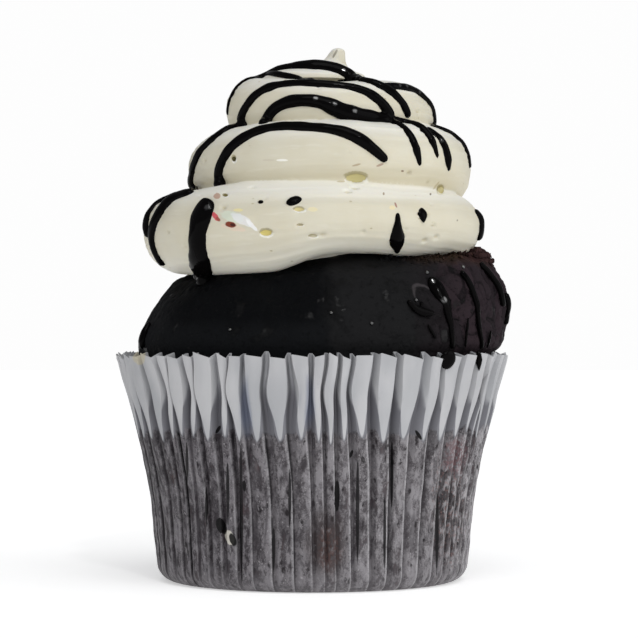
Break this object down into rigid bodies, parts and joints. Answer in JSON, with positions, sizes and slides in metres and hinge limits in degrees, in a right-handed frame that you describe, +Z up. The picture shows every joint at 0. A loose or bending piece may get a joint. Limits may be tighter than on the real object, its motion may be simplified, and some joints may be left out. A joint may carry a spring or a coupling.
{
  "type": "cupcake",
  "caption": "Dark chocolate cupcake in a fluted paper liner, with a tall piped swirl of pale buttercream and chocolate syrup drizzled over it.",
  "frame": {"origin": "centre of the liner's flat underside", "axes": "+Z up through the swirl's tip, -Y towards the front as seen, +X to the right of the front"},
  "size_m": [0.0648, 0.0646, 0.0873],
  "materials": {
    "paper": "thin greaseproof paper, light above and grease-darkened below",
    "sponge": "matt dark chocolate crumb with glossy chocolate syrup on it",
    "buttercream": "soft satin buttercream with glossy chocolate syrup on it"
  },
  "bodies": {
    "root": {"paper_case": "paper", "cake": "sponge", "frosting": "buttercream"}
  },
  "joints": []
}
